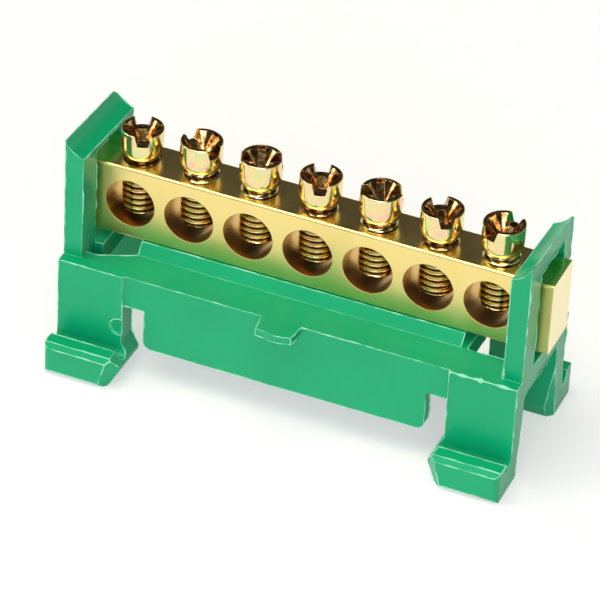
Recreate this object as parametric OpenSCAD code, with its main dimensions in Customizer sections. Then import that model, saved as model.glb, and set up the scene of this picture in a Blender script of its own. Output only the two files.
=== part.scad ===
// Earth terminal bar: a drilled brass bar with seven clamp screws, carried in a moulded holder
// that clips onto a 35 mm mounting rail. The bar runs along X and the rail along Y.
// The origin is at the middle of the footprint, on the surface under the feet.

/* [Terminals] */
// Distance from one terminal to the next
pitch = 6.5; // [6:0.1:9]
// Diameter of the wire holes, which run from front to back
wire_hole_d = 5.4; // [3:0.1:6]
// Distance from the last wire hole's centre to the end wall
end_margin = 3.4; // [3:0.1:8]

/* [Brass bar] */
// Depth of the bar, front to back
bar_depth = 5.5; // [5:0.1:9]
// Height of the bar
bar_height = 8.3; // [7:0.1:14]
// Radius of the bar's four long edges
bar_edge_r = 0.35; // [0.1:0.05:0.8]
// Length of bar that stands out past each end wall
bar_overhang = 1.1; // [0.3:0.1:6]
// Distance of the bar's middle behind the middle of the base
bar_offset = 0.8; // [0:0.1:1.5]

/* [Clamp screws] */
// Outside diameter of the screw thread
thread_d = 3.9; // [2.9:0.1:4.5]
// Gap all round between the screw and its hole
thread_clearance = 0.05; // [0.03:0.01:0.1]
// Length of the screw below its head
shank_length = 7.1; // [5:0.1:7.2]
// Diameter of the screw head
head_d = 4.4; // [4.2:0.1:5.5]
// Height of the screw head
head_height = 2.8; // [2.4:0.1:4]
// Radius under the rim of the head
head_under_r = 0.9; // [0.3:0.1:1]
// Gap between a head at the common height and the top of the bar
head_gap = 0.9; // [0.6:0.1:1.5]
// Least gap between a screw's tip and the far side of its wire hole
tip_gap = 0.2; // [0.2:0.05:1.5]
// Width of the straight slot across the head, at its floor
slot_width = 1.3; // [0.8:0.1:1.6]
// Flare of each side of the slot, up to the top of the head
slot_flare = 0.25; // [0:0.05:0.3]
// Depth of the straight slot
slot_depth = 1.1; // [0.8:0.1:1.6]
// Width of the recess arm that crosses the slot
arm_width = 0.8; // [0.6:0.1:1.2]
// Span of the cross recess, inside the rim of the head
cross_span = 3.7; // [2.6:0.1:4]
// Diameter of the cross recess's hollow at the top
hollow_d = 2.8; // [1.8:0.1:3]
// Depth of the cross recess at its middle
cross_depth = 2; // [1.4:0.1:2.2]

/* [End walls] */
// Thickness of the end walls
wall_thickness = 2; // [1.4:0.1:3]
// Depth of the end walls, front to back
wall_depth = 12; // [11:0.1:16]
// Height of a wall's outer edge above the bar
wall_rise = 4.4; // [3.8:0.1:8]
// Height of a wall's inner edge above the bar
wall_inner_rise = 2.6; // [2.4:0.1:3.4]
// Radius of the hollow that the top of the wall falls inward in
wall_hollow_r = 3; // [2.6:0.1:6]
// Fall of the top of the wall from front to back, in degrees
wall_top_fall = 4; // [0:0.5:6]
// Radius of the wall's rear top corner
wall_corner_r = 1.1; // [0.4:0.1:2]
// Gap in front of the bar in the wall's window
window_front_gap = 0.85; // [0.2:0.05:1.2]
// Gap behind the bar in the wall's window
window_rear_gap = 0.45; // [0.2:0.05:1]
// Gap over the bar in the wall's window
window_top_gap = 1.8; // [0.3:0.1:2]

/* [Base] */
// Depth of the base over its front and back faces
base_depth = 14.6; // [14:0.1:18]
// Thickness of the deck
deck_thickness = 2.4; // [1.6:0.1:4]
// Height of the rib that the bar lies on
rib_height = 1.1; // [0.6:0.1:3]
// Slope of the rib's sides, as a width at its foot
rib_slope = 1.1; // [0.2:0.1:1.5]
// Distance that the rib stops short of the right opening
rib_short = 0.7; // [0:0.1:2]
// Length of the opening in the deck between the rib and each end wall
port_length = 4.9; // [3:0.1:5.5]
// Distance of the opening's long edges in front of and behind the bar
port_margin = 1.1; // [0.5:0.1:1.2]
// Extra distance of the left opening's front edge beside its end wall
port_skew = 2.4; // [0:0.1:2.6]
// Width of the ledge left at the foot of each end wall
ledge_width = 0.9; // [0.6:0.1:1.6]

/* [Front and back panels] */
// Thickness of the panel that hangs between the feet
panel_thickness = 1.2; // [1:0.1:2]
// Distance of the panel behind the faces of the legs
panel_setback = 0.25; // [0:0.05:0.6]
// Height of the panel's lower edge, where the rail bears
rail_seat_height = 3.8; // [3.2:0.1:5]
// Width of the slot between the panel and each leg
leg_slot_width = 2.35; // [1:0.05:4]
// Height of the top of that slot
leg_slot_top = 8.4; // [7:0.1:9]
// Radius of the panel's lower corners
panel_corner_r = 0.9; // [0.2:0.1:2]
// Width of the gate tab on the front edge of the deck
tab_width = 4.3; // [2:0.1:8]
// Length of the gate tab
tab_length = 2.5; // [1:0.1:3]
// Thickness of the gate tab
tab_thickness = 0.8; // [0.4:0.1:1.5]
// Distance of the gate tab left of the middle
tab_offset = 0.4; // [-4:0.1:4]

/* [Clip feet] */
// Width of the rail that the feet hold
rail_width = 35; // [35:0.1:36]
// Gap between the rail and each leg
rail_gap = 0.25; // [0.1:0.05:0.6]
// Distance that each barb reaches past the leg
barb_reach = 0.85; // [0.4:0.05:1.4]
// Height of the barb's point
barb_height = 2.1; // [1.6:0.1:2.6]
// Slant of the lead-in under the barb, as a width at the floor
lead_in = 1.1; // [0.8:0.1:2.6]
// Slant of the bevel in front of the barb, as a width at the floor
front_bevel = 1.1; // [0.6:0.1:2]
// Thickness of the legs, front to back
leg_thickness = 2.5; // [1.8:0.1:3.4]
// Height of the deck's underside above the floor
leg_height = 9.6; // [8.8:0.1:14]
// Radius at the root of each leg, under the deck
leg_root_r = 0.9; // [0.3:0.1:1.5]
// Size of the bevel at the foot of each leg's outer inside edge
leg_bevel = 1; // [0.3:0.1:1.5]
// Height at which that bevel has run out
leg_bevel_height = 7; // [4:0.5:9]
// Distance that each hook stands out past the leg
hook_reach = 3.4; // [2.6:0.1:4]
// Height of the hook's lip
hook_height = 3.7; // [3:0.1:4.5]
// Thickness of the hook's lip
hook_lip = 1.9; // [1.2:0.1:2.2]
// Depth of the channel behind the lip
hook_channel = 1.2; // [0.9:0.1:2]

/* [Hidden] */
$fn = 64;

terminal_count = 7;
// How far each screw was turned when it was last driven, in degrees
screw_turn = [114, 150, 22, 109, 26, 122, 69];
// How far each screw was left above or below the common height
screw_raise = [-0.1, 0.25, 0.25, 0.05, 0.25, 0.1, 0.35];
tip_bevel = 0.5; // bevel round the tip of a screw's shank
past = 0.5; // how far a cut runs past the face that it opens
bite = 0.01; // how far one piece of a moulding runs into the next

half_inside = (terminal_count - 1) / 2 * pitch + end_margin;
half_length = half_inside + wall_thickness;
bar_length = 2 * (half_length + bar_overhang);

deck_top = leg_height + deck_thickness;
bar_bottom = deck_top + rib_height;
bar_top = bar_bottom + bar_height;
bar_middle = bar_bottom + bar_height / 2;
bar_front = bar_offset - bar_depth / 2;
bar_back = bar_offset + bar_depth / 2;
wall_top = bar_top + wall_rise;
// The wire hole's wall under a screw's tip, and the common height of the heads, which keeps the tips clear of it.
tip_floor = bar_middle - min(bore_drop(thread_d / 2 - tip_bevel), bore_drop(thread_d / 2) + tip_bevel);
head_rest = max(bar_top + head_gap, tip_floor + tip_gap + shank_length);
window_front = bar_front - window_front_gap;
window_back = bar_back + window_rear_gap;

leg_inner = rail_width / 2 + rail_gap;
barb_tip = leg_inner - barb_reach;
half_panel = leg_inner - leg_slot_width;
half_base = base_depth / 2;
leg_back = -half_base + leg_thickness;
hook_front = half_base + hook_reach;

// How far the wall of a wire hole lies below the hole's axis, at a distance beside the axis.
function bore_drop(beside) = sqrt(max((wire_hole_d / 2) ^ 2 - beside ^ 2, 0));

// Extrudes a front-to-back outline, drawn as [y, z], along X from one place to another.
module along_x(from, to) {
    translate([from, 0, 0]) rotate([90, 0, 90]) linear_extrude(to - from) children();
}

// Extrudes a left-to-right outline, drawn as [x, z], along Y from front to back.
module along_y(from, to) {
    translate([0, to, 0]) rotate([90, 0, 0]) linear_extrude(to - from) children();
}

// Makes the same thing again on the other side of the base.
module front_and_back() {
    children();
    mirror([0, 1, 0]) children();
}

module left_and_right() {
    children();
    mirror([1, 0, 0]) children();
}

// A rectangle with its four corners rounded.
module rounded_square(width, height, r) {
    translate([r, 0]) square([width - 2 * r, height]);
    translate([0, r]) square([width, height - 2 * r]);
    for (x = [r, width - r], y = [r, height - r]) translate([x, y]) circle(r);
}

// What a radius leaves of a square corner. The corner is at the origin and the square lies past it.
module corner_fillet(r) {
    difference() {
        square(r);
        translate([r, r]) circle(r);
    }
}

// ---- the brass bar ----

module bar() {
    color("gold") difference() {
        along_x(-bar_length / 2, bar_length / 2)
            translate([bar_front, bar_bottom]) rounded_square(bar_depth, bar_height, bar_edge_r);
        for (i = [0 : terminal_count - 1]) translate([terminal_x(i), 0, 0]) {
            wire_hole();
            screw_hole();
        }
    }
}

function terminal_x(i) = (i - (terminal_count - 1) / 2) * pitch;

module wire_hole() {
    translate([0, bar_back + past, bar_middle]) rotate([90, 0, 0])
        cylinder(d = wire_hole_d, h = bar_depth + 2 * past);
}

module screw_hole() {
    translate([0, bar_offset, bar_middle])
        cylinder(d = thread_d + 2 * thread_clearance, h = bar_height / 2 + past);
}

// ---- a clamp screw: turned shank, cheese head, straight slot and cross recess ----

module screw(i) {
    color("khaki")
        translate([terminal_x(i), bar_offset, head_rest + screw_raise[i]]) rotate([0, 0, screw_turn[i]])
        difference() {
            screw_blank();
            straight_slot();
            cross_recess();
        }
}

// The turned blank, one profile spun round the screw's axis.
module screw_blank() {
    rim = 0.15;
    r = head_d / 2;
    shank_r = thread_d / 2;
    rotate_extrude() {
        polygon([[0, -shank_length], [shank_r - tip_bevel, -shank_length],
                 [shank_r, -shank_length + tip_bevel], [shank_r, head_under_r], [0, head_under_r]]);
        square([r - head_under_r, head_height]);
        polygon([[0, head_under_r], [r, head_under_r], [r, head_height - rim], [r - rim, head_height],
                 [0, head_height]]);
        intersection() {
            translate([r - head_under_r, head_under_r]) circle(head_under_r);
            square(head_d);
        }
    }
}

// The slot right across the head, wider at the top than at its floor.
module straight_slot() {
    at_floor = slot_width / 2;
    at_top = at_floor + slot_flare;
    translate([0, 0, head_height]) along_x(-head_d, head_d)
        polygon([[-at_floor, -slot_depth], [at_floor, -slot_depth], [at_top, 0], [at_top, past],
                 [-at_top, past], [-at_top, 0]]);
}

// Four arms that taper to a point, round a hollow that narrows as it goes down.
module cross_recess() {
    tip_r = 0.4;
    translate([0, 0, head_height]) {
        for (turn = [0, 90]) rotate([0, 0, turn])
            translate([0, arm_width / 2, 0]) rotate([90, 0, 0]) linear_extrude(arm_width)
                polygon([[-cross_span / 2, past], [-cross_span / 2, -slot_depth / 2], [-tip_r, -cross_depth],
                         [tip_r, -cross_depth], [cross_span / 2, -slot_depth / 2], [cross_span / 2, past]]);
        rotate_extrude()
            polygon([[0, -cross_depth], [tip_r, -cross_depth], [hollow_d / 2, 0], [hollow_d / 2, past], [0, past]]);
    }
}

// ---- the moulded holder ----

module holder() {
    color("mediumseagreen") difference() {
        union() {
            difference() {
                union() {
                    deck();
                    left_and_right() end_wall();
                    rib();
                }
                port(1, 0);
                port(-1, port_skew);
            }
            left_and_right() ledge();
            front_and_back() {
                panel();
                left_and_right() foot();
            }
            gate_tab();
        }
        sink_mark();
    }
}

// The plate under the bar. Its middle stands back as far as the panels do.
module deck() {
    difference() {
        translate([-half_length, -half_base, leg_height]) cube([2 * half_length, base_depth, deck_thickness]);
        front_and_back() translate([-leg_inner, half_base - panel_setback, leg_height - past])
            cube([2 * leg_inner, panel_setback + past, deck_thickness + 2 * past]);
    }
}

// The long rib that the bar lies on, with sloped sides.
module rib() {
    rib_end = half_inside - port_length;
    land = 0.1; // how far the rib's flat top shows in front of the bar
    along_x(-rib_end, rib_end - rib_short)
        polygon([[bar_front - rib_slope, deck_top - bite], [bar_back + rib_slope, deck_top - bite],
                 [bar_back + land, bar_bottom], [bar_front - land, bar_bottom]]);
}

// An end wall: its top falls inward in a hollow curve, and the bar comes out through its window.
module end_wall() {
    // The hollow's centre lies where its curve meets both the inner and the outer edge.
    fall = wall_rise - wall_inner_rise;
    chord = norm([wall_thickness, fall]);
    from_chord = sqrt(wall_hollow_r ^ 2 - chord ^ 2 / 4);
    centre = [wall_thickness / 2 - from_chord * fall / chord, fall / 2 + from_chord * wall_thickness / chord];
    rear_top = wall_top - wall_depth * tan(wall_top_fall);
    difference() {
        translate([half_inside, -wall_depth / 2, deck_top - bite])
            cube([wall_thickness, wall_depth, wall_top - deck_top + bite]);
        translate([half_inside, -wall_depth / 2, bar_top + wall_inner_rise]) rotate([-wall_top_fall, 0, 0])
            translate([centre[0], -past, centre[1]]) rotate([-90, 0, 0])
                cylinder(r = wall_hollow_r, h = wall_depth + 3 * past);
        along_x(half_inside - past, half_length + past)
            translate([wall_depth / 2 - wall_corner_r, rear_top + wall_corner_r * (tan(wall_top_fall) - 1)])
                difference() {
                    translate([wall_corner_r * sin(wall_top_fall), 0]) square(2 * wall_corner_r);
                    circle(wall_corner_r);
                }
        translate([half_inside - past, window_front, deck_top])
            cube([wall_thickness + 2 * past, window_back - window_front, bar_top + window_top_gap - deck_top]);
    }
}

// An opening through the deck between the rib and an end wall.
module port(side, skew) {
    front = bar_front - port_margin;
    back = bar_back + port_margin;
    rib_end = half_inside - port_length;
    translate([0, 0, leg_height - past]) linear_extrude(deck_thickness + rib_height + 2 * past)
        polygon([[side * rib_end, front], [side * half_inside, front - skew],
                 [side * half_inside, back], [side * rib_end, back]]);
}

// The ledge at the foot of an end wall, which closes a strip of the opening under the window.
module ledge() {
    translate([half_inside - ledge_width, window_front, leg_height])
        cube([ledge_width + bite, bar_back + port_margin - window_front + bite, deck_thickness]);
}

// The panel that hangs between the feet. Its lower edge bears on the rail.
module panel() {
    face = half_base - panel_setback;
    along_y(-face, -face + panel_thickness) {
        translate([-leg_inner, leg_slot_top]) square([2 * leg_inner, deck_top - leg_slot_top]);
        translate([-half_panel, rail_seat_height]) {
            translate([0, panel_corner_r])
                square([2 * half_panel, leg_slot_top - rail_seat_height - panel_corner_r + bite]);
            translate([panel_corner_r, 0]) square([2 * (half_panel - panel_corner_r), panel_corner_r]);
            for (x = [panel_corner_r, 2 * half_panel - panel_corner_r])
                translate([x, panel_corner_r]) circle(panel_corner_r);
        }
    }
}

// A clip foot: a leg with a barb that faces the rail and a hook that faces outward.
// It is where its side outline, its front outline and its plan meet, less its two slanted bevels.
module foot() {
    difference() {
        intersection() {
            along_x(barb_tip, half_length) foot_side();
            along_y(-hook_front, leg_back + leg_root_r) foot_front();
            linear_extrude(deck_top) foot_plan();
            beside_front_bevel();
        }
        outer_bevel();
    }
}

// The J of the hook and its leg, seen from the end of the bar.
module foot_side() {
    bevel = 0.5;
    toe = [0.4, 1.4]; // the bevel under the leg's inside face
    channel_d = hook_reach - hook_lip;
    difference() {
        union() {
            polygon([[-half_base, 0], [leg_back - toe[0], 0], [leg_back, toe[1]], [leg_back, deck_top],
                     [-half_base, deck_top]]);
            polygon([[-half_base + bite, 0], [-hook_front + bevel, 0], [-hook_front, bevel],
                     [-hook_front, hook_height - bevel], [-hook_front + bevel, hook_height],
                     [-half_base + bite, hook_height]]);
        }
        translate([-half_base - channel_d / 2, hook_height - hook_channel + channel_d / 2]) circle(d = channel_d);
        translate([-half_base - channel_d, hook_height - hook_channel + channel_d / 2])
            square([channel_d, hook_height]);
    }
    translate([leg_back, leg_height + bite]) mirror([0, 1]) corner_fillet(leg_root_r);
}

// The leg's straight outer side and its barb, seen from the front.
module foot_front() {
    nose = 0.4;
    polygon([[half_length, 0], [half_length, deck_top], [leg_inner, deck_top], [leg_inner, rail_seat_height],
             [barb_tip, barb_height + nose / 2], [barb_tip, barb_height - nose / 2], [barb_tip + lead_in, 0]]);
}

// The foot from above, with a rounded outer corner.
module foot_plan() {
    corner_r = 0.6;
    back = leg_back + leg_root_r;
    polygon([[barb_tip, back], [barb_tip, -hook_front], [half_length - corner_r, -hook_front],
             [half_length - corner_r, -hook_front + corner_r], [half_length, -hook_front + corner_r],
             [half_length, back]]);
    translate([half_length - corner_r, -hook_front + corner_r]) circle(corner_r);
}

// All that lies outside the bevel in front of the barb, which leans out towards the floor.
// The bevel crosses the hook's corner at 45 degrees, so the outline is drawn along that diagonal.
module beside_front_bevel() {
    at_lip = 0.15; // the bevel's width at the height of the lip
    slope = (front_bevel - at_lip) / hook_height;
    at_top = front_bevel - slope * deck_top;
    reach = base_depth;
    rotate([0, 0, 45]) along_y(-3 * reach, reach)
        polygon([[(leg_inner + front_bevel - hook_front) / sqrt(2), 0], [half_length, 0], [half_length, deck_top],
                 [(leg_inner + at_top - hook_front) / sqrt(2), deck_top]]);
}

// The bevel down the leg's outer inside edge, which widens towards the floor.
module outer_bevel() {
    lean = atan(leg_bevel / sqrt(2) / leg_bevel_height);
    size = 3 * leg_bevel_height;
    translate([half_length, leg_back, leg_bevel_height]) rotate([0, 0, 45]) rotate([0, lean, 0])
        translate([0, -size / 2, -size]) cube(size);
}

// The shallow sink at the inner edge of the left front leg.
module sink_mark() {
    depth = 0.15;
    r = 1;
    translate([-leg_inner - r / 3, -half_base - past, hook_height + 2 * r]) rotate([-90, 0, 0])
        cylinder(r1 = r + past, r2 = r - depth, h = past + depth);
}

// The stub left where the moulding was broken from its runner.
module gate_tab() {
    root = -half_base + panel_setback;
    taper = 0.25;
    half_root = tab_width / 2;
    // The broken end: places across it from -1 to 1, and how far short of the full length each is.
    broken_end = [[-1, 0.3], [-0.4, 0.25], [-0.1, 0], [0.5, 0.1], [1, 0.35]];
    translate([-tab_offset, 0, deck_top - tab_thickness]) linear_extrude(tab_thickness)
        polygon([[half_root, root + bite], [-half_root, root + bite],
                 for (p = broken_end) [p[0] * (half_root - taper), root - tab_length + p[1]]]);
}

holder();
bar();
screw(0);  // screw_1
screw(1);  // screw_2
screw(2);  // screw_3
screw(3);  // screw_4
screw(4);  // screw_5
screw(5);  // screw_6
screw(6);  // screw_7
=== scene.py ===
# Earth terminal bar: a drilled brass bar with seven clamp screws, carried in a moulded green holder.
import bpy
import bmesh
import math
from mathutils import Matrix, Vector


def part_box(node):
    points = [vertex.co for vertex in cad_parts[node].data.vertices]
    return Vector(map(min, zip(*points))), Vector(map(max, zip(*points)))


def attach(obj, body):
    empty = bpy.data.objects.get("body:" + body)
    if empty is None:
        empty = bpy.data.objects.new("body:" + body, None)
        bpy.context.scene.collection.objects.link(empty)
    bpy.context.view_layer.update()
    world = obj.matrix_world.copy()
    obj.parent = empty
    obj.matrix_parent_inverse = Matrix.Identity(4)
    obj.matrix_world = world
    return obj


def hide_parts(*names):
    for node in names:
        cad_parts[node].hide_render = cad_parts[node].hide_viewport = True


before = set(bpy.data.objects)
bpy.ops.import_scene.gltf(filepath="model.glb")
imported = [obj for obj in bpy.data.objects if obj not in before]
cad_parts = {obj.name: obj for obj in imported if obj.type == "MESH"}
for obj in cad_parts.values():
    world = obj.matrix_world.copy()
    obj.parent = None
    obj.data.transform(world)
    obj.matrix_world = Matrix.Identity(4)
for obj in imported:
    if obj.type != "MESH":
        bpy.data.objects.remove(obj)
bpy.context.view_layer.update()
MM = 0.001

# ---- Camera ----
# It stands in front of the right end and looks down on the row of screws, leaning a little to one side.
# A long lens keeps the seven terminals nearly the same size.
bar_low, bar_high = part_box("bar")
aim = Vector((0.0, bar_low.y, bar_high.z))
azimuth, elevation, roll = math.radians(20.916), math.radians(35.922), math.radians(3.23)
distance, moved_right, moved_down = 432.3 * MM, 0.104 * MM, 7.541 * MM
toward = Vector((math.sin(azimuth) * math.cos(elevation), -math.cos(azimuth) * math.cos(elevation),
                 math.sin(elevation)))
level_right = (-toward).cross(Vector((0.0, 0.0, 1.0))).normalized()
level_up = level_right.cross(-toward)
camera_right = math.cos(roll) * level_right + math.sin(roll) * level_up
camera_up = -math.sin(roll) * level_right + math.cos(roll) * level_up
camera_data = bpy.data.cameras.new("camera")
camera_data.sensor_width = 36.0
camera_data.lens = 260.8
camera_data.shift_x = -0.017
camera_data.shift_y = -0.0077
camera_data.clip_start = 0.01
camera = bpy.data.objects.new("camera", camera_data)
bpy.context.collection.objects.link(camera)
turned = Matrix((camera_right, camera_up, toward)).transposed().to_4x4()
camera.matrix_world = Matrix.Translation(
    aim + distance * toward + moved_right * camera_right - moved_down * camera_up) @ turned
bpy.context.scene.camera = camera


# ---- Holder ----
# The carrier is one injection moulding in green nylon, with its clip feet in one piece with it. Its faces
# are smooth and softly glossy, and its edges carry a pale painted highlight.
def linear(hex_colour):
    """The colour that Blender mixes with, from an sRGB hex value."""
    values = [int(hex_colour[i:i + 2], 16) / 255 for i in (1, 3, 5)]
    return [v / 12.92 if v <= 0.04045 else ((v + 0.055) / 1.055) ** 2.4 for v in values] + [1.0]


def add(tree, kind, inputs=None, **settings):
    """Adds a node to a tree, with its settings, and links or sets its inputs."""
    made = tree.nodes.new(kind)
    for name, value in settings.items():
        setattr(made, name, value)
    for name, value in (inputs or {}).items():
        if isinstance(value, bpy.types.NodeSocket):
            tree.links.new(value, made.inputs[name])
        else:
            made.inputs[name].default_value = value
    return made


def new_material(name):
    """An empty material, its tree and its output node."""
    material = bpy.data.materials.new(name)
    material.use_nodes = True
    material.node_tree.nodes.clear()
    return material, material.node_tree, material.node_tree.nodes.new("ShaderNodeOutputMaterial")


def moulded_nylon():
    """Nylon 6, injection moulded: clean saturated green, with a soft gloss, faint flow marks and a pale
    painted highlight along the edges."""
    material, tree, output = new_material("moulded_nylon")
    place = add(tree, "ShaderNodeTexCoord").outputs["Object"]
    # Colour drifts a little over about 8 mm, where the melt cooled unevenly.
    drift = add(tree, "ShaderNodeTexNoise", {"Vector": place, "Scale": 1 / (8 * MM), "Detail": 3.0})
    green = add(tree, "ShaderNodeMix", {0: drift.outputs["Fac"], 6: linear("#039663"), 7: linear("#08A56F")},
                data_type="RGBA")
    # Rounded normals near an edge differ from the flat ones, and that marks the edges.
    rounded = add(tree, "ShaderNodeBevel", {"Radius": 0.16 * MM}, samples=6)
    flat = add(tree, "ShaderNodeNewGeometry")
    likeness = add(tree, "ShaderNodeVectorMath", {0: rounded.outputs["Normal"], 1: flat.outputs["Normal"]},
                   operation="DOT_PRODUCT")
    edge = add(tree, "ShaderNodeMapRange", {"Value": likeness.outputs["Value"], "From Min": 0.995,
                                           "From Max": 0.93})
    # The painted edge highlight comes and goes along an edge every 2 mm or so.
    patchy = add(tree, "ShaderNodeTexNoise", {"Vector": place, "Scale": 1 / (2 * MM), "Detail": 4.0})
    patches = add(tree, "ShaderNodeMapRange", {"Value": patchy.outputs["Fac"], "From Min": 0.35,
                                              "From Max": 0.65})
    edge_highlight = add(tree, "ShaderNodeMath", {0: edge.outputs["Result"], 1: patches.outputs["Result"]},
                 operation="MULTIPLY")
    colour = add(tree, "ShaderNodeMix", {0: edge_highlight.outputs["Value"], 6: green.outputs[2],
                                        7: linear("#6FD3A4")}, data_type="RGBA")
    # The mould's polish leaves a texture of about 0.3 mm.
    texture = add(tree, "ShaderNodeTexNoise", {"Vector": place, "Scale": 1 / (0.3 * MM), "Detail": 4.0})
    bump = add(tree, "ShaderNodeBump", {"Height": texture.outputs["Fac"], "Strength": 0.08,
                                        "Distance": 0.02 * MM, "Normal": rounded.outputs["Normal"]})
    shader = add(tree, "ShaderNodeBsdfPrincipled", {
        "Base Color": colour.outputs[2], "Roughness": 0.32, "IOR": 1.53, "Specular IOR Level": 0.3,
        "Normal": bump.outputs["Normal"],
        "Subsurface Weight": 0.12, "Subsurface Radius": (0.3, 1.0, 0.5), "Subsurface Scale": 0.8 * MM})
    tree.links.new(shader.outputs["BSDF"], output.inputs["Surface"])
    return material


def give(node, material):
    """Puts a material on every slot of a CAD node."""
    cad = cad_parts[node]
    if not cad.data.materials:
        cad.data.materials.append(material)
    for held in cad.material_slots:
        held.material = material


give("holder", moulded_nylon())


# ---- Mould flash ----
# Where the two halves of the mould met, nylon crept out and set as a thin uneven bead along the sharp
# edges. It was never trimmed, and it is thickest over the right front leg.
def flash_nylon():
    """The same nylon where it is a film or a burr: thin, so it looks much paler, and a little rough."""
    material, tree, output = new_material("flash_nylon")
    place = add(tree, "ShaderNodeTexCoord").outputs["Object"]
    thin = add(tree, "ShaderNodeTexNoise", {"Vector": place, "Scale": 1 / (0.8 * MM), "Detail": 3.0})
    pale = add(tree, "ShaderNodeMix", {0: thin.outputs["Fac"], 6: linear("#4CC694"), 7: linear("#A9E4C6")},
               data_type="RGBA")
    shader = add(tree, "ShaderNodeBsdfPrincipled", {"Base Color": pale.outputs[2], "Roughness": 0.4,
                                                   "IOR": 1.53})
    tree.links.new(shader.outputs["BSDF"], output.inputs["Surface"])
    return material


def set_input(modifier, name, value):
    """Sets a node tree's named input through its socket's identifier."""
    found = next(item for item in modifier.node_group.interface.items_tree
                 if item.name == name and item.in_out == "INPUT")
    modifier[found.identifier] = value


def finished(thing, name):
    """The plain mesh that an object's modifiers make, in place of the object."""
    shown = thing.evaluated_get(bpy.context.evaluated_depsgraph_get())
    made = bpy.data.objects.new(name, bpy.data.meshes.new_from_object(shown))
    bpy.context.collection.objects.link(made)
    bpy.data.objects.remove(thing)
    made.data.name = name
    return made


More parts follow.
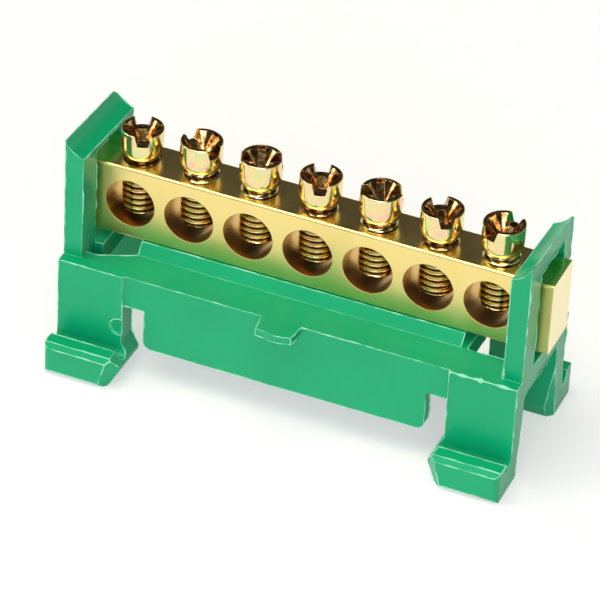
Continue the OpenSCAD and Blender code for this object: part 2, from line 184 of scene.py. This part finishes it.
def flash_tree(material):
    """Leaves an uneven bead of flash along the sharp outer edges of a moulding, and one thicker burr."""
    tree = bpy.data.node_groups.new("mould_flash", "GeometryNodeTree")
    face = tree.interface
    face.new_socket("Geometry", in_out="INPUT", socket_type="NodeSocketGeometry")
    for name, value in (("Sharp Angle", math.radians(32)), ("Lowest Height", 0.4 * MM),
                        ("Bead Radius", 0.1 * MM), ("Patch Length", 1.6 * MM), ("Waver", 0.4 * MM),
                        ("Burr Radius", 0.75 * MM), ("Burr Length", 3.4 * MM), ("Seed", 4.0)):
        face.new_socket(name, in_out="INPUT", socket_type="NodeSocketFloat").default_value = value
    face.new_socket("Burr Place", in_out="INPUT", socket_type="NodeSocketVector")
    face.new_socket("Geometry", in_out="OUTPUT", socket_type="NodeSocketGeometry")
    given = add(tree, "NodeGroupInput").outputs
    whole = add(tree, "GeometryNodeMergeByDistance", {"Geometry": given["Geometry"], "Distance": 0.001 * MM})
    place = add(tree, "GeometryNodeInputPosition").outputs[0]
    folded = add(tree, "GeometryNodeInputMeshEdgeAngle").outputs["Signed Angle"]
    sharp = add(tree, "ShaderNodeMath", {0: folded, 1: given["Sharp Angle"]}, operation="GREATER_THAN")
    high = add(tree, "ShaderNodeMath", {0: add(tree, "ShaderNodeSeparateXYZ", {0: place}).outputs["Z"],
                                        1: given["Lowest Height"]}, operation="GREATER_THAN")
    chosen = add(tree, "ShaderNodeMath", {0: sharp.outputs[0], 1: high.outputs[0]}, operation="MULTIPLY")
    lines = add(tree, "GeometryNodeMeshToCurve", {"Mesh": whole.outputs[0], "Selection": chosen.outputs[0]})
    lines = add(tree, "GeometryNodeResampleCurve", {"Curve": lines.outputs[0], "Length": 0.2 * MM},
                mode="LENGTH")
    patch = add(tree, "ShaderNodeMath", {0: 1.0, 1: given["Patch Length"]}, operation="DIVIDE")
    uneven = add(tree, "ShaderNodeTexNoise", {"Vector": place, "W": given["Seed"], "Scale": patch.outputs[0],
                                             "Detail": 3.0}, noise_dimensions="4D")
    # The bead is a trace of its full size where the noise is low, and all of it where the noise is high.
    low_noise, high_noise, trace = 0.42, 0.64, 0.12
    swell = add(tree, "ShaderNodeMapRange", {"Value": uneven.outputs["Fac"], "From Min": low_noise,
                                            "From Max": high_noise, "To Min": trace})
    bead = add(tree, "ShaderNodeMath", {0: swell.outputs["Result"], 1: given["Bead Radius"]},
               operation="MULTIPLY")
    away = add(tree, "ShaderNodeVectorMath", {0: place, 1: given["Burr Place"]}, operation="DISTANCE")
    near = add(tree, "ShaderNodeMapRange", {"Value": away.outputs["Value"], "From Min": 0.0,
                                           "From Max": given["Burr Length"], "To Min": 1.0, "To Max": 0.0})
    burr = add(tree, "ShaderNodeMath", {0: near.outputs["Result"], 1: given["Burr Radius"]},
               operation="MULTIPLY")
    burr = add(tree, "ShaderNodeMath", {0: burr.outputs[0], 1: swell.outputs["Result"]}, operation="MULTIPLY")
    radius = add(tree, "ShaderNodeMath", {0: bead.outputs[0], 1: burr.outputs[0]}, operation="ADD")
    # Close to the floor the bead thins out, so that next to nothing goes under the feet.
    height = add(tree, "ShaderNodeSeparateXYZ", {0: place}).outputs["Z"]
    height = add(tree, "ShaderNodeMath", {0: height, 1: 0.02 * MM}, operation="MAXIMUM")
    radius = add(tree, "ShaderNodeMath", {0: radius.outputs[0], 1: height.outputs[0]}, operation="MINIMUM")
    aside = add(tree, "ShaderNodeVectorMath", {0: uneven.outputs["Color"], 1: (0.5, 0.5, 0.5)},
                operation="SUBTRACT")
    aside = add(tree, "ShaderNodeVectorMath", {0: aside.outputs[0], "Scale": given["Waver"]},
                operation="SCALE")
    aside = add(tree, "ShaderNodeVectorMath", {0: aside.outputs[0], 1: (1.0, 0.7, 0.3)}, operation="MULTIPLY")
    wavy = add(tree, "GeometryNodeSetPosition", {"Geometry": lines.outputs[0], "Offset": aside.outputs[0]})
    sized = add(tree, "GeometryNodeSetCurveRadius", {"Curve": wavy.outputs[0], "Radius": radius.outputs[0]})
    ring = add(tree, "GeometryNodeCurvePrimitiveCircle", {"Resolution": 6, "Radius": 1.0})
    swept = add(tree, "GeometryNodeCurveToMesh", {"Curve": sized.outputs[0], "Profile Curve": ring.outputs[0],
                                                 "Fill Caps": True})
    for socket in swept.inputs:
        if socket.name == "Scale":
            tree.links.new(radius.outputs[0], socket)
    real = add(tree, "GeometryNodeRealizeInstances", {"Geometry": swept.outputs[0]})
    dressed = add(tree, "GeometryNodeSetMaterial", {"Geometry": real.outputs[0], "Material": material})
    output = add(tree, "NodeGroupOutput")
    tree.links.new(dressed.outputs[0], output.inputs[0])
    return tree


moulding = bpy.data.objects.new("moulding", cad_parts["holder"].data.copy())
bpy.context.collection.objects.link(moulding)
beaded = moulding.modifiers.new("flash", "NODES")
beaded.node_group = flash_tree(flash_nylon())
# The thickest burr is on the deck's front edge, over the right front leg.
burr_x, burr_y, burr_z = 20.8 * MM, -7.3 * MM, 12.0 * MM
set_input(beaded, "Burr Place", (burr_x, burr_y, burr_z))
mould_flash = finished(moulding, "mould_flash")
mould_flash.data.polygons.foreach_set("use_smooth", [True] * len(mould_flash.data.polygons))
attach(mould_flash, "base")


# ---- Brass bar ----
# The bar is drawn brass, sawn to length, drilled across for the wires and tapped from above. It lies on the
# holder's rib and comes out through a window in each end wall. Drawing leaves fine lines along it.
def drawn_brass():
    """Free-cutting brass, drawn bright: warm yellow and satin, with fine lengthwise lines. The walls of the
    drilled holes are painted browner as painted shade, and the sawn ends are paler and duller."""
    material, tree, output = new_material("drawn_brass")
    place = add(tree, "ShaderNodeTexCoord").outputs["Object"]
    # Lines 0.12 mm apart and 15 mm long.
    stretched = add(tree, "ShaderNodeMapping", {"Vector": place,
                                                "Scale": (1 / (15 * MM), 1 / (0.12 * MM), 1 / (0.12 * MM))})
    lines = add(tree, "ShaderNodeTexNoise", {"Vector": stretched.outputs["Vector"], "Scale": 1.0,
                                            "Detail": 3.0})
    clouds = add(tree, "ShaderNodeTexNoise", {"Vector": place, "Scale": 1 / (3 * MM), "Detail": 4.0})
    tone = add(tree, "ShaderNodeMix", {0: clouds.outputs["Fac"], 6: linear("#F7D988"), 7: linear("#FDE79C")},
               data_type="RGBA")
    # The wall of a drilled hole is what lies within a hole's radius of the axis of the nearest hole.
    split = add(tree, "ShaderNodeSeparateXYZ", {0: place}).outputs
    along = add(tree, "ShaderNodeMath", {0: split["X"], 1: 1 / hole_pitch, 2: 0.5}, operation="MULTIPLY_ADD")
    along = add(tree, "ShaderNodeMath", {0: along.outputs[0]}, operation="FRACT")
    beside = add(tree, "ShaderNodeMath", {0: along.outputs[0], 1: 0.5}, operation="SUBTRACT")
    beside = add(tree, "ShaderNodeMath", {0: beside.outputs[0], 1: hole_pitch}, operation="MULTIPLY")
    above = add(tree, "ShaderNodeMath", {0: split["Z"], 1: (bar_low.z + bar_high.z) / 2},
                operation="SUBTRACT")
    from_axis = add(tree, "ShaderNodeVectorMath", {0: add(tree, "ShaderNodeCombineXYZ", {
        0: beside.outputs[0], 2: above.outputs[0]}).outputs[0]}, operation="LENGTH")
    drilled = add(tree, "ShaderNodeMath", {0: from_axis.outputs["Value"], 1: drilled_reach},
                  operation="LESS_THAN")
    end_side = add(tree, "ShaderNodeMath", {0: split["X"]}, operation="ABSOLUTE")
    in_row = add(tree, "ShaderNodeMath", {0: end_side.outputs[0], 1: bar_high.x - plain_end},
                 operation="LESS_THAN")
    drilled = add(tree, "ShaderNodeMath", {0: drilled.outputs[0], 1: in_row.outputs[0]}, operation="MULTIPLY")
    # The ends were sawn, which leaves upright lines 0.2 mm apart.
    facing = add(tree, "ShaderNodeSeparateXYZ", {0: add(tree, "ShaderNodeNewGeometry").outputs["Normal"]})
    endwise = add(tree, "ShaderNodeMath", {0: facing.outputs["X"]}, operation="ABSOLUTE")
    sawn = add(tree, "ShaderNodeMath", {0: endwise.outputs[0], 1: 0.9}, operation="GREATER_THAN")
    at_end = add(tree, "ShaderNodeMath", {0: end_side.outputs[0], 1: bar_high.x - sawn_skin},
                 operation="GREATER_THAN")
    sawn = add(tree, "ShaderNodeMath", {0: sawn.outputs[0], 1: at_end.outputs[0]}, operation="MULTIPLY")
    upright = add(tree, "ShaderNodeMapping", {"Vector": place,
                                              "Scale": (1 / (2 * MM), 1 / (0.2 * MM), 1 / (6 * MM))})
    teeth = add(tree, "ShaderNodeTexNoise", {"Vector": upright.outputs["Vector"], "Scale": 1.0,
                                            "Detail": 2.0})
    tone = add(tree, "ShaderNodeMix", {0: sawn.outputs[0], 6: tone.outputs[2], 7: linear("#FDF0C4")},
               data_type="RGBA")
    # The hole walls are painted browner, as painted shade inside the bores. The drill left rings 0.25 mm
    # apart.
    tone = add(tree, "ShaderNodeMix", {0: drilled.outputs[0], 6: tone.outputs[2], 7: linear("#E3BC70")},
               data_type="RGBA")
    rings = add(tree, "ShaderNodeMapping", {"Vector": place,
                                            "Scale": (1 / (4 * MM), 1 / (0.25 * MM), 1 / (4 * MM))})
    rings = add(tree, "ShaderNodeTexNoise", {"Vector": rings.outputs["Vector"], "Scale": 1.0, "Detail": 2.0})
    grooves = add(tree, "ShaderNodeMix", {0: sawn.outputs[0], 2: lines.outputs["Fac"],
                                         3: teeth.outputs["Fac"]})
    grooves = add(tree, "ShaderNodeMix", {0: drilled.outputs[0], 2: grooves.outputs[0],
                                         3: rings.outputs["Fac"]})
    rounded = add(tree, "ShaderNodeBevel", {"Radius": 0.08 * MM}, samples=6)
    bump = add(tree, "ShaderNodeBump", {"Height": grooves.outputs[0], "Strength": 0.06, "Distance": 0.01 * MM,
                                        "Normal": rounded.outputs["Normal"]})
    rough = add(tree, "ShaderNodeMapRange", {"Value": clouds.outputs["Fac"], "To Min": 0.28, "To Max": 0.4})
    # Fingers have polished the top.
    upward = add(tree, "ShaderNodeMath", {0: facing.outputs["Z"], 1: 0.9}, operation="GREATER_THAN")
    polished = add(tree, "ShaderNodeMath", {0: upward.outputs[0], 1: -0.1}, operation="MULTIPLY")
    rough = add(tree, "ShaderNodeMath", {0: rough.outputs["Result"], 1: polished.outputs[0]}, operation="ADD")
    rough = add(tree, "ShaderNodeMix", {0: drilled.outputs[0], 2: rough.outputs[0], 3: 0.3})
    rough = add(tree, "ShaderNodeMix", {0: sawn.outputs[0], 2: rough.outputs[0], 3: 0.42})
    shader = add(tree, "ShaderNodeBsdfPrincipled", {
        "Base Color": tone.outputs[2], "Metallic": 1.0, "Roughness": rough.outputs[0],
        "Normal": bump.outputs["Normal"]})
    tree.links.new(shader.outputs["BSDF"], output.inputs["Surface"])
    return material


first_low, first_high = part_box("screw_1")
last_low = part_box("screw_7")[0]
hole_pitch = (last_low.x - first_low.x) / 6
# A hair over the radius of a wire hole, a length at each end that has no hole, and the depth of a sawn end.
drilled_reach, plain_end, sawn_skin = 2.73 * MM, 3 * MM, 0.05 * MM
give("bar", drawn_brass())


# ---- Clamp screws ----
# Each terminal has an M4 screw in yellow zinc plated steel. Its head is turned, with a straight slot cut
# through the rim over a pressed cross recess, and its thread is rolled.
def zinc_plate():
    """Steel, zinc plated and passivated yellow: bright, with faint pink and green in the yellow."""
    material, tree, output = new_material("zinc_plate")
    place = add(tree, "ShaderNodeTexCoord").outputs["Object"]
    film = add(tree, "ShaderNodeTexNoise", {"Vector": place, "Scale": 1 / (1.2 * MM), "Detail": 2.0,
                                           "Distortion": 1.0})
    tints = add(tree, "ShaderNodeValToRGB", {"Fac": film.outputs["Fac"]})
    ramp = tints.color_ramp
    ramp.elements[0].position, ramp.elements[0].color = 0.3, linear("#D9E2A0")
    ramp.elements[1].position, ramp.elements[1].color = 0.7, linear("#F7C8B0")
    ramp.elements.new(0.5).color = linear("#F3DFA0")
    # Painted shade: the roots of the thread and the neck, close to the screw's axis and low by the bar, are
    # painted dark brown.
    split = add(tree, "ShaderNodeSeparateXYZ", {0: place}).outputs
    along = add(tree, "ShaderNodeMath", {0: split["X"], 1: 1 / hole_pitch, 2: 0.5}, operation="MULTIPLY_ADD")
    along = add(tree, "ShaderNodeMath", {0: along.outputs[0]}, operation="FRACT")
    beside = add(tree, "ShaderNodeMath", {0: along.outputs[0], 1: hole_pitch, 2: -hole_pitch / 2},
                 operation="MULTIPLY_ADD")
    behind = add(tree, "ShaderNodeMath", {0: split["Y"], 1: (first_low.y + first_high.y) / 2},
                 operation="SUBTRACT")
    from_axis = add(tree, "ShaderNodeVectorMath", {0: add(tree, "ShaderNodeCombineXYZ", {
        0: beside.outputs[0], 1: behind.outputs[0]}).outputs[0]}, operation="LENGTH")
    root = add(tree, "ShaderNodeMapRange", {"Value": from_axis.outputs["Value"], "From Min": no_shade_r,
                                           "From Max": full_shade_r})
    under = add(tree, "ShaderNodeMath", {0: split["Z"], 1: bar_high.z + shade_to}, operation="LESS_THAN")
    axis_shade = add(tree, "ShaderNodeMath", {0: root.outputs["Result"], 1: under.outputs[0]}, operation="MULTIPLY")
    tone = add(tree, "ShaderNodeMix", {0: axis_shade.outputs[0], 6: tints.outputs["Color"], 7: linear("#6B4420")},
               data_type="RGBA")
    # Painted shade: the recess and the tops of the lugs are painted browner, in patches of 0.5 mm.
    inner = add(tree, "ShaderNodeMath", {0: from_axis.outputs["Value"], 1: head_r - unshaded_rim},
                operation="LESS_THAN")
    upper = add(tree, "ShaderNodeMath", {0: split["Z"], 1: bar_high.z + recess_shade_from},
                operation="GREATER_THAN")
    recess_shade = add(tree, "ShaderNodeMath", {0: inner.outputs[0], 1: upper.outputs[0]}, operation="MULTIPLY")
    recess_tone = add(tree, "ShaderNodeTexNoise", {"Vector": place, "Scale": 1 / (0.5 * MM), "Detail": 2.0})
    recess_tone = add(tree, "ShaderNodeMapRange", {"Value": recess_tone.outputs["Fac"], "From Min": 0.4, "From Max": 0.6})
    recess_tone = add(tree, "ShaderNodeMix", {0: recess_tone.outputs["Result"], 6: linear("#8C6438"),
                                       7: linear("#E2BC80")}, data_type="RGBA")
    tone = add(tree, "ShaderNodeMix", {0: recess_shade.outputs[0], 6: tone.outputs[2], 7: recess_tone.outputs[2]},
               data_type="RGBA")
    rounded = add(tree, "ShaderNodeBevel", {"Radius": 0.04 * MM}, samples=6)
    grain = add(tree, "ShaderNodeTexNoise", {"Vector": place, "Scale": 1 / (0.15 * MM), "Detail": 3.0})
    bump = add(tree, "ShaderNodeBump", {"Height": grain.outputs["Fac"], "Strength": 0.06,
                                        "Distance": 0.01 * MM, "Normal": rounded.outputs["Normal"]})
    shader = add(tree, "ShaderNodeBsdfPrincipled", {
        "Base Color": tone.outputs[2], "Metallic": 1.0, "Roughness": 0.14, "Normal": bump.outputs["Normal"]})
    tree.links.new(shader.outputs["BSDF"], output.inputs["Surface"])
    return material


screw_names = sorted(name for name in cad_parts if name.startswith("screw_"))
screw_low, screw_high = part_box(screw_names[0])
head_r = (screw_high.x - screw_low.x) / 2
screw_length = screw_high.z - screw_low.z
head_height = 2.8 * MM
shank_length = screw_length - head_height
rim_r = 0.14 * MM
# The width of rim that the painted recess shade leaves bare, and the height over the bar where that painted
# shade starts.
unshaded_rim, recess_shade_from = 0.16 * MM, 1.2 * MM
# The painted shade by the axis is full at the smaller radius and gone at the larger one, and ends at this
# height over the bar.
full_shade_r, no_shade_r, shade_to = 1.66 * MM, 1.86 * MM, 0.5 * MM
# How far each screw was turned when it was last driven, in degrees.
screw_turns = [114, 150, 22, 109, 26, 122, 69]


def spun(name, outline, steps=72):
    """A closed solid, from an outline of (radius, height) spun round Z."""
    mesh = bmesh.new()
    path = [mesh.verts.new((r, 0.0, z)) for r, z in outline]
    edges = [mesh.edges.new(pair) for pair in zip(path, path[1:])]
    bmesh.ops.spin(mesh, geom=path + edges, axis=(0, 0, 1), cent=(0, 0, 0), steps=steps, angle=2 * math.pi)
    bmesh.ops.remove_doubles(mesh, verts=mesh.verts[:], dist=1e-7)
    bmesh.ops.recalc_face_normals(mesh, faces=mesh.faces[:])
    made = bpy.data.objects.new(name, bpy.data.meshes.new(name))
    mesh.to_mesh(made.data)
    mesh.free()
    bpy.context.collection.objects.link(made)
    return made


def prism(name, outline, width, turn=0.0):
    """A bar of the given width along Y, from an outline of (x, z), then turned about Z."""
    mesh = bmesh.new()
    side = mesh.faces.new([mesh.verts.new((x, -width / 2, z)) for x, z in outline])
    pushed = bmesh.ops.extrude_face_region(mesh, geom=[side])
    moved = [part for part in pushed["geom"] if isinstance(part, bmesh.types.BMVert)]
    bmesh.ops.translate(mesh, verts=moved, vec=(0, width, 0))
    bmesh.ops.rotate(mesh, verts=mesh.verts[:], matrix=Matrix.Rotation(turn, 3, "Z"))
    bmesh.ops.recalc_face_normals(mesh, faces=mesh.faces[:])
    made = bpy.data.objects.new(name, bpy.data.meshes.new(name))
    mesh.to_mesh(made.data)
    mesh.free()
    bpy.context.collection.objects.link(made)
    return made


def screw_head():
    """The head alone, with its slot and its cross recess. Height 0 is where the CAD head's underside is."""
    # Below its straight wall the head curves in like a bowl, down to a plain neck.
    underside, bowl_wide, bowl_high = -0.65 * MM, 0.9 * MM, 1.5 * MM
    outline = [(0.0, underside)]
    outline += [(head_r - bowl_wide + bowl_wide * math.sin(a),
                 underside + bowl_high - bowl_high * math.cos(a))
                for a in [math.radians(7.5 * step) for step in range(13)]]
    outline += [(head_r - rim_r + rim_r * math.cos(a), head_height - rim_r + rim_r * math.sin(a))
                for a in [math.radians(18 * step) for step in range(6)]]
    blank = spun("head", outline + [(0.0, head_height)], 96)
    across = math.pi / 2
    over = head_height + 0.5 * MM
    slot_floor, slot_top, slot_depth = 0.55 * MM, 0.85 * MM, 1.15 * MM
    slot = [(-slot_floor, head_height - slot_depth), (slot_floor, head_height - slot_depth),
            (slot_top, head_height), (slot_top, over), (-slot_top, over), (-slot_top, head_height)]
    arm_width, span, arm_end, deep, tip, hollow_r = 0.8 * MM, 3.9 * MM, 0.5 * MM, 2.0 * MM, 0.4 * MM, 1.7 * MM
    arm = [(-span / 2, over), (-span / 2, head_height - arm_end), (-tip, head_height - deep),
           (tip, head_height - deep), (span / 2, head_height - arm_end), (span / 2, over)]
    hollow = [(0.0, head_height - deep - 0.02 * MM), (tip, head_height - deep), (hollow_r, head_height),
              (hollow_r, over), (0.0, over)]
    cutters = [prism("slot", slot, 10 * MM, across), prism("arm", arm, arm_width),
               prism("cross_arm", arm, arm_width, across), spun("hollow", hollow, 48)]
    for cutter in cutters:
        cut = blank.modifiers.new("cut", "BOOLEAN")
        cut.object, cut.operation, cut.solver = cutter, "DIFFERENCE", "MANIFOLD"
    soften = blank.modifiers.new("soften", "BEVEL")
    soften.width, soften.segments = 0.05 * MM, 2
    soften.limit_method, soften.angle_limit = "ANGLE", math.radians(35)
    soften.use_clamp_overlap = True
    made = finished(blank, "screw_head")
    for cutter in cutters:
        bpy.data.objects.remove(cutter)
    return made


def thread_tree(material):
    """Adds a rolled thread under a head, then turns the screw and puts it in its place."""
    tree = bpy.data.node_groups.new("rolled_thread", "GeometryNodeTree")
    face = tree.interface
    face.new_socket("Geometry", in_out="INPUT", socket_type="NodeSocketGeometry")
    for name, value in (("Thread Diameter", 3.9 * MM), ("Thread Pitch", 0.7 * MM),
                        ("Thread Depth", 0.42 * MM), ("Shank Length", 7.1 * MM),
                        ("Point Radius", 1.35 * MM), ("Neck Radius", 1.55 * MM), ("Turn", 0.0)):
        face.new_socket(name, in_out="INPUT", socket_type="NodeSocketFloat").default_value = value
    face.new_socket("Place", in_out="INPUT", socket_type="NodeSocketVector")
    face.new_socket("Geometry", in_out="OUTPUT", socket_type="NodeSocketGeometry")
    given = add(tree, "NodeGroupInput").outputs

    def math_node(operation, a, b=0.0, c=0.0):
        return add(tree, "ShaderNodeMath", {0: a, 1: b, 2: c}, operation=operation).outputs[0]

    columns, rows_per_pitch, rows = 48, 14, 168
    # The heights where the shank ends inside the head, and where its thread has run out into a plain neck.
    into_head, run_out = 0.3 * MM, -0.6 * MM
    sheet = add(tree, "GeometryNodeMeshGrid", {"Size X": 1.0, "Size Y": 1.0, "Vertices X": columns + 1,
                                              "Vertices Y": rows + 1}).outputs["Mesh"]
    place = add(tree, "ShaderNodeSeparateXYZ", {0: add(tree, "GeometryNodeInputPosition").outputs[0]}).outputs
    round_about = math_node("ADD", place["X"], 0.5)
    row = math_node("MULTIPLY_ADD", place["Y"], float(rows), rows / 2)
    # Each row climbs one pitch in a turn, so it joins the row one pitch above it at the seam.
    climb = math_node("ADD", math_node("DIVIDE", row, float(rows_per_pitch)), round_about)
    up = math_node("MULTIPLY", math_node("SUBTRACT", climb, 1.0), given["Thread Pitch"])
    bottom = math_node("MULTIPLY", given["Shank Length"], -1.0)
    height = math_node("MAXIMUM", math_node("ADD", up, bottom), bottom)
    height = math_node("MINIMUM", height, into_head)
    # The thread's flanks, between its narrow root and its flat crest.
    root_to, crest_from = 0.12, 0.86
    along = math_node("FRACT", math_node("DIVIDE", row, float(rows_per_pitch)))
    flank = math_node("ABSOLUTE", math_node("SUBTRACT", math_node("MULTIPLY", along, 2.0), 1.0))
    form = add(tree, "ShaderNodeMapRange", {"Value": flank, "From Min": root_to,
                                           "From Max": crest_from})
    form = form.outputs["Result"]
    radius = math_node("MULTIPLY", given["Thread Diameter"], 0.5)
    radius = math_node("SUBTRACT", radius, math_node("MULTIPLY", math_node("SUBTRACT", 1.0, form),
                                                     given["Thread Depth"]))
    from_point = math_node("ADD", math_node("SUBTRACT", height, bottom), given["Point Radius"])
    from_head = math_node("ADD", math_node("SUBTRACT", run_out, height), given["Neck Radius"])
    from_head = math_node("MAXIMUM", from_head, given["Neck Radius"])
    radius = math_node("MINIMUM", radius, math_node("MINIMUM", from_point, from_head))
    inside = math_node("MULTIPLY", math_node("GREATER_THAN", row, 0.5),
                       math_node("LESS_THAN", row, rows - 0.5))
    radius = math_node("MULTIPLY", radius, inside)
    angle = math_node("MULTIPLY", round_about, 2 * math.pi)
    spot = add(tree, "ShaderNodeCombineXYZ", {
        0: math_node("MULTIPLY", radius, math_node("COSINE", angle)),
        1: math_node("MULTIPLY", radius, math_node("SINE", angle)), 2: height})
    shank = add(tree, "GeometryNodeSetPosition", {"Geometry": sheet, "Position": spot.outputs[0]})
    closed = add(tree, "GeometryNodeMergeByDistance", {"Geometry": shank.outputs[0], "Distance": 0.001 * MM})
    whole = add(tree, "GeometryNodeJoinGeometry")
    tree.links.new(given["Geometry"], whole.inputs[0])
    tree.links.new(closed.outputs[0], whole.inputs[0])
    turn = add(tree, "ShaderNodeCombineXYZ", {2: given["Turn"]})
    placed = add(tree, "GeometryNodeTransform", {"Geometry": whole.outputs[0], "Translation": given["Place"],
                                                "Rotation": turn.outputs[0]})
    real = add(tree, "GeometryNodeRealizeInstances", {"Geometry": placed.outputs[0]})
    dressed = add(tree, "GeometryNodeSetMaterial", {"Geometry": real.outputs[0], "Material": material})
    output = add(tree, "NodeGroupOutput")
    tree.links.new(dressed.outputs[0], output.inputs[0])
    return tree


head = screw_head()
thread = thread_tree(zinc_plate())
for index, name in enumerate(screw_names):
    low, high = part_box(name)
    blank = bpy.data.objects.new(name + "_blank", head.data.copy())
    bpy.context.collection.objects.link(blank)
    threaded = blank.modifiers.new("thread", "NODES")
    threaded.node_group = thread
    set_input(threaded, "Shank Length", shank_length)
    set_input(threaded, "Turn", math.radians(screw_turns[index]))
    set_input(threaded, "Place", ((low.x + high.x) / 2, (low.y + high.y) / 2, low.z + shank_length))
    screw = finished(blank, "clamp_screw_%d" % (index + 1))
    screw.data.polygons.foreach_set("use_smooth", [True] * len(screw.data.polygons))
    screw.data.set_sharp_from_angle(angle=math.radians(38))
    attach(screw, "clamp_%d" % (index + 1))
    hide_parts(name)
bpy.data.objects.remove(head)


# ---- Studio ----
# A white sweep lies all round the part, under softboxes, in a darker room.
def painted_board():
    """White emulsion on board: even and matt, with a trace of the roller. The lens and the metal see it
    whiter."""
    material, tree, output = new_material("painted_board")
    place = add(tree, "ShaderNodeTexCoord").outputs["Object"]
    roller = add(tree, "ShaderNodeTexNoise", {"Vector": place, "Scale": 1 / (4 * MM), "Detail": 2.0})
    white = add(tree, "ShaderNodeMix", {0: roller.outputs["Fac"], 6: linear("#FAFAFA"), 7: linear("#FFFFFF")},
                data_type="RGBA")
    paint = add(tree, "ShaderNodeBsdfDiffuse", {"Color": white.outputs[2]})
    backing = add(tree, "ShaderNodeEmission", {"Color": linear("#FFFFFF"), "Strength": 1.0})
    ray = add(tree, "ShaderNodeLightPath").outputs
    seen = add(tree, "ShaderNodeMath", {0: ray["Is Camera Ray"], 1: ray["Is Glossy Ray"]},
               operation="MAXIMUM")
    seen = add(tree, "ShaderNodeMath", {0: seen.outputs[0], 1: ray["Is Transmission Ray"]},
               operation="MAXIMUM")
    share = add(tree, "ShaderNodeMath", {0: seen.outputs[0], 1: 0.5}, operation="MULTIPLY")
    board = add(tree, "ShaderNodeMixShader", {0: share.outputs[0], 1: paint.outputs[0],
                                             2: backing.outputs[0]})
    tree.links.new(board.outputs[0], output.inputs["Surface"])
    return material


floor_r, bend_r, wall_top = 1.6, 0.3, 0.6
bend = [(floor_r + bend_r * math.sin(math.radians(a)), bend_r - bend_r * math.cos(math.radians(a)))
        for a in range(10, 91, 10)]
sweep = spun("sweep", [(0.0, 0.0), (floor_r, 0.0)] + bend + [(floor_r + bend_r, wall_top)], 96)
sweep.data.materials.append(painted_board())
for face in sweep.data.polygons:
    face.use_smooth = True


def softbox(name, place, size, power, colour):
    """A square lamp that faces the part."""
    lamp = bpy.data.lights.new(name, "AREA")
    lamp.size, lamp.energy, lamp.color = size, power, colour
    made = bpy.data.objects.new(name, lamp)
    made.location = place
    made.rotation_euler = Vector(place).to_track_quat("Z", "Y").to_euler()
    bpy.context.collection.objects.link(made)


softbox("softbox_top", (-0.15, -0.2, 1.1), 0.9, 11.5, (1.0, 0.97, 0.82))
softbox("softbox_front", (0.45, -1.2, 0.6), 0.9, 10.5, (0.88, 0.97, 1.12))
softbox("softbox_left", (-1.1, -0.4, 0.6), 0.6, 4.5, (1.0, 1.0, 1.0))

world = bpy.data.worlds.new("room")
world.use_nodes = True
bpy.context.scene.world = world
world.node_tree.nodes["Background"].inputs["Color"].default_value = linear("#8A8782")
world.node_tree.nodes["Background"].inputs["Strength"].default_value = 0.22
bpy.context.scene.view_settings.view_transform = "Standard"
